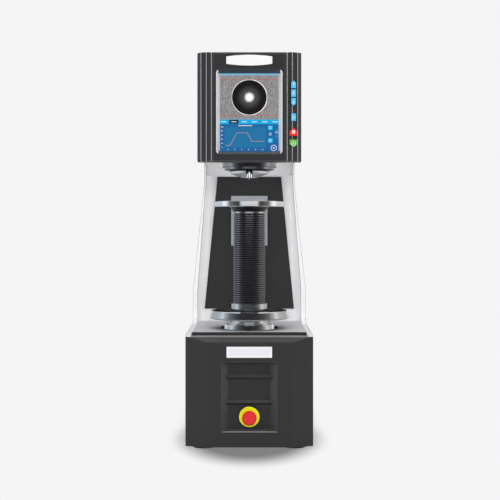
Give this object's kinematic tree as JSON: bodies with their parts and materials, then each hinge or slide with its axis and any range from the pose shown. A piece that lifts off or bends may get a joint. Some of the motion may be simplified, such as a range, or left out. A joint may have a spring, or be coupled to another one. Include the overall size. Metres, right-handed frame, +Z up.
{
  "type": "hardness tester",
  "caption": "Column-type hardness tester: C-frame with a display head and turret above an anvil on an elevating screw with a handwheel.",
  "frame": {"origin": "centre of the footprint on the bench, under the feet", "axes": "+X to the operator's right, -Y to the operator, +Z up; at rest the anvil is 51 mm below the indenter"},
  "size_m": [0.28, 0.5724, 0.867],
  "materials": {
    "foot_rubber": "moulded black rubber foot",
    "frame_enamel": "grey primer on steel plate",
    "white_enamel": "white powder coat",
    "light_enamel": "light grey powder coat",
    "dark_texture": "charcoal fine-textured powder coat",
    "dark_panel": "charcoal textured panel",
    "white_plate": "blank white plate",
    "silver_plate": "blank satin aluminium plate",
    "bezel_silver": "satin aluminium frame",
    "display": "display module under glass",
    "board_green": "circuit board lacquer",
    "legend_yellow": "yellow legend plate",
    "stop_red": "red moulded mushroom head",
    "key_blue": "light blue key cap",
    "key_red": "red key cap",
    "key_green": "green key cap",
    "black_plastic": "moulded black plastic",
    "black_oxide": "black oxided steel",
    "ground_steel": "ground steel",
    "chrome": "polished hard chrome",
    "dark_chrome": "dark polished chrome",
    "aluminium": "bare aluminium",
    "belt_rubber": "black drive belt"
  },
  "bodies": {
    "frame": {"levelling_feet": "foot_rubber", "base_frame": "frame_enamel", "upper_frame": "frame_enamel", "side_cheek_left": "white_enamel", "side_cheek_right": "white_enamel", "base_front_cover": "dark_texture", "head_cover": "dark_texture", "name_plate": "white_plate", "badge_plate": "white_plate", "top_plate": "light_enamel", "column_liner": "light_enamel", "arm_underside": "light_enamel", "rear_cover": "light_enamel", "top_plate_trim": "dark_panel", "column_panel": "dark_panel", "column_plaque": "silver_plate", "display_bezel": "bezel_silver", "display_panel": "display", "key_board": "board_green", "estop_legend": "legend_yellow", "estop_body": "black_plastic", "estop_nut": "black_plastic", "guide_tube": "ground_steel", "collar_flange": "chrome", "collar_screws": "black_oxide", "thrust_bearing": "ground_steel", "turret_flange": "dark_chrome", "thrust_block": "frame_enamel", "drive_belt": "belt_rubber", "load_motor": "black_plastic", "power_supply": "aluminium", "computer_unit": "aluminium", "mains_inlet": "black_plastic", "data_sockets": "ground_steel"},
    "handwheel": {"handwheel": "chrome", "elevating_nut": "chrome"},
    "spindle": {"elevating_screw": "black_oxide", "anvil_boss": "chrome", "anvil_plate": "chrome"},
    "ram": {"load_ram": "ground_steel", "load_cell": "ground_steel", "ball_nut": "ground_steel", "camera_unit": "black_plastic", "turret_axle": "ground_steel"},
    "turret": {"turret_dome": "dark_chrome", "indenter_holder": "black_oxide", "indenter": "chrome", "objectives": "black_oxide"},
    "ball_screw": {"ball_screw": "ground_steel", "screw_pulley": "aluminium"},
    "motor_rotor": {"motor_pulley": "aluminium"},
    "estop_plunger": {"estop_plunger": "ground_steel"},
    "estop_head": {"estop_head": "stop_red"},
    "mains_rocker": {"mains_rocker": "black_plastic"},
    "key_up": {"key_up": "key_blue"},
    "key_upper_function": {"key_upper_function": "key_blue"},
    "key_down": {"key_down": "key_blue"},
    "key_lower_function": {"key_lower_function": "key_blue"},
    "key_stop": {"key_stop": "key_red"},
    "key_start": {"key_start": "key_green"}
  },
  "joints": [
    {"name": "handwheel_turn", "type": "hinge", "parent": "frame", "child": "handwheel", "pos_m": [0, -0.1188, 0.275], "axis": [0, 0, 1], "range_deg": [-13705, 3265]},
    {"name": "spindle_lift", "type": "slide", "parent": "frame", "child": "spindle", "axis": [0, 0, 1], "range_m": [-0.19, 0.045]},
    {"name": "ball_screw_turn", "type": "hinge", "parent": "frame", "child": "ball_screw", "pos_m": [0, -0.1188, 0.797], "axis": [0, 0, 1], "range_deg": [-9, 549]},
    {"name": "ram_stroke", "type": "slide", "parent": "frame", "child": "ram", "axis": [0, 0, 1], "range_m": [-0.006, 0]},
    {"name": "motor_turn", "type": "hinge", "parent": "frame", "child": "motor_rotor", "pos_m": [0, -0.0408, 0.81], "axis": [0, 0, 1], "range_deg": [-27, 1647]},
    {"name": "turret_turn", "type": "hinge", "parent": "ram", "child": "turret", "pos_m": [0, -0.0858, 0.6203], "axis": [0, 0, 1], "range_deg": [-120, 120]},
    {"name": "estop_push", "type": "slide", "parent": "frame", "child": "estop_plunger", "axis": [0, 1, 0], "range_m": [0, 0.004], "stiffness_N_per_m": 1500},
    {"name": "estop_twist", "type": "hinge", "parent": "estop_plunger", "child": "estop_head", "pos_m": [0, -0.2729, 0.0705], "axis": [0, 1, 0], "range_deg": [0, 45], "stiffness_Nm_per_rad": 0.05},
    {"name": "mains_rock", "type": "hinge", "parent": "frame", "child": "mains_rocker", "pos_m": [0.04, 0.2812, 0.066], "axis": [1, 0, 0], "range_deg": [-18, 0]},
    {"name": "key_up_press", "type": "slide", "parent": "frame", "child": "key_up", "axis": [0, 1, 0], "range_m": [0, 0.0008], "stiffness_N_per_m": 1500},
    {"name": "key_upper_function_press", "type": "slide", "parent": "frame", "child": "key_upper_function", "axis": [0, 1, 0], "range_m": [0, 0.0008], "stiffness_N_per_m": 1500},
    {"name": "key_down_press", "type": "slide", "parent": "frame", "child": "key_down", "axis": [0, 1, 0], "range_m": [0, 0.0008], "stiffness_N_per_m": 1500},
    {"name": "key_lower_function_press", "type": "slide", "parent": "frame", "child": "key_lower_function", "axis": [0, 1, 0], "range_m": [0, 0.0008], "stiffness_N_per_m": 1500},
    {"name": "key_stop_press", "type": "slide", "parent": "frame", "child": "key_stop", "axis": [0, 1, 0], "range_m": [0, 0.0008], "stiffness_N_per_m": 1500},
    {"name": "key_start_press", "type": "slide", "parent": "frame", "child": "key_start", "axis": [0, 1, 0], "range_m": [0, 0.0008], "stiffness_N_per_m": 1500}
  ],
  "couplings": [
    {"joint": "handwheel_turn", "follows": "spindle_lift", "rad_per_m": 1256.6},
    {"joint": "ball_screw_turn", "follows": "ram_stroke", "rad_per_m": -1570.8},
    {"joint": "motor_turn", "follows": "ram_stroke", "rad_per_m": -4712.4}
  ]
}
